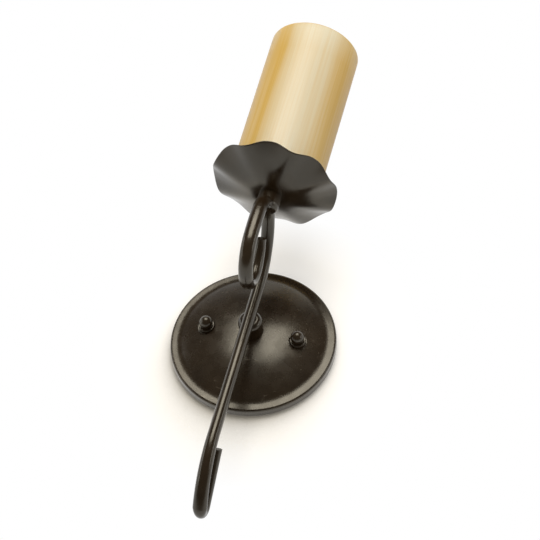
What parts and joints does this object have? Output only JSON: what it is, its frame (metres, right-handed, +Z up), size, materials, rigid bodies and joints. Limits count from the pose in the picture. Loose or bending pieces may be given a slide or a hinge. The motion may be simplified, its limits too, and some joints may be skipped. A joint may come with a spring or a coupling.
{
  "type": "torch wall sconce",
  "caption": "Wall sconce with a round domed backplate, a scrolled tube arm, a fluted saucer dish and an amber glass cylinder around a tubular lamp.",
  "frame": {"origin": "on the wall plane, at the axis of the hub and of the backplate", "axes": "+Z up, -Y out from the wall into the room, +X to the right as seen from the room"},
  "size_m": [0.127, 0.1333, 0.3822],
  "materials": {
    "bronze_paint": "satin dark bronze",
    "zinc_steel": "zinc plated",
    "plain_brass": "plain",
    "green_screw": "green lacquer",
    "gasket_rubber": "matte",
    "black_phenolic": "moulded",
    "amber_glass": "streaked amber",
    "clear_glass": "clear",
    "cap_insulator": "black vitreous",
    "solder": "solder",
    "lead_cover": "insulation"
  },
  "bodies": {
    "wall_bracket": {"box_strap": "zinc_steel", "swivel_eyelet": "zinc_steel"},
    "fixture": {"fixture_strap": "zinc_steel", "mounting_studs": "zinc_steel", "stud_lock_nuts": "zinc_steel", "ground_screw": "green_screw", "backplate": "bronze_paint", "hub": "bronze_paint", "hub_pipe": "plain_brass", "hub_washer": "zinc_steel", "hub_nut": "zinc_steel", "scroll_arm": "bronze_paint", "knuckle": "bronze_paint", "upper_pipe": "plain_brass", "upper_nut": "zinc_steel", "fluted_dish": "bronze_paint", "shade_seat": "zinc_steel", "seat_gasket": "gasket_rubber", "lampholder_cap": "black_phenolic", "lampholder_body": "black_phenolic", "screw_shell": "plain_brass", "centre_contact": "plain_brass", "terminal_screws": "plain_brass", "fixture_lead": "lead_cover"},
    "left_cap_nut": {"cap_nut_left": "bronze_paint"},
    "right_cap_nut": {"cap_nut_right": "bronze_paint"},
    "shade": {"glass_shade": "amber_glass"},
    "ring": {"shade_ring": "black_phenolic"},
    "bulb": {"lamp_contact": "solder", "lamp_insulator": "cap_insulator", "lamp_cap": "plain_brass", "lamp_glass": "clear_glass", "lamp_filament": "clear_glass"}
  },
  "joints": [
    {"name": "level_swivel", "type": "hinge", "parent": "wall_bracket", "child": "fixture", "pos_m": [0, 0, 0], "axis": [0, 1, 0], "range_deg": [-20, 20]},
    {"name": "left_nut_turn", "type": "hinge", "parent": "fixture", "child": "left_cap_nut", "pos_m": [-0.0358, -0.02, 0], "axis": [0, 1, 0], "continuous": true},
    {"name": "right_nut_turn", "type": "hinge", "parent": "fixture", "child": "right_cap_nut", "pos_m": [0.0358, -0.02, 0], "axis": [0, 1, 0], "continuous": true},
    {"name": "shade_lift", "type": "slide", "parent": "fixture", "child": "shade", "axis": [0, 0, 1], "range_m": [0, 0.12]},
    {"name": "ring_lift", "type": "slide", "parent": "shade", "child": "ring", "axis": [0, 0, 1], "range_m": [0, 0.135]},
    {"name": "lamp_lift", "type": "slide", "parent": "fixture", "child": "bulb", "axis": [0, 0, 1], "range_m": [0, 0.13]}
  ]
}
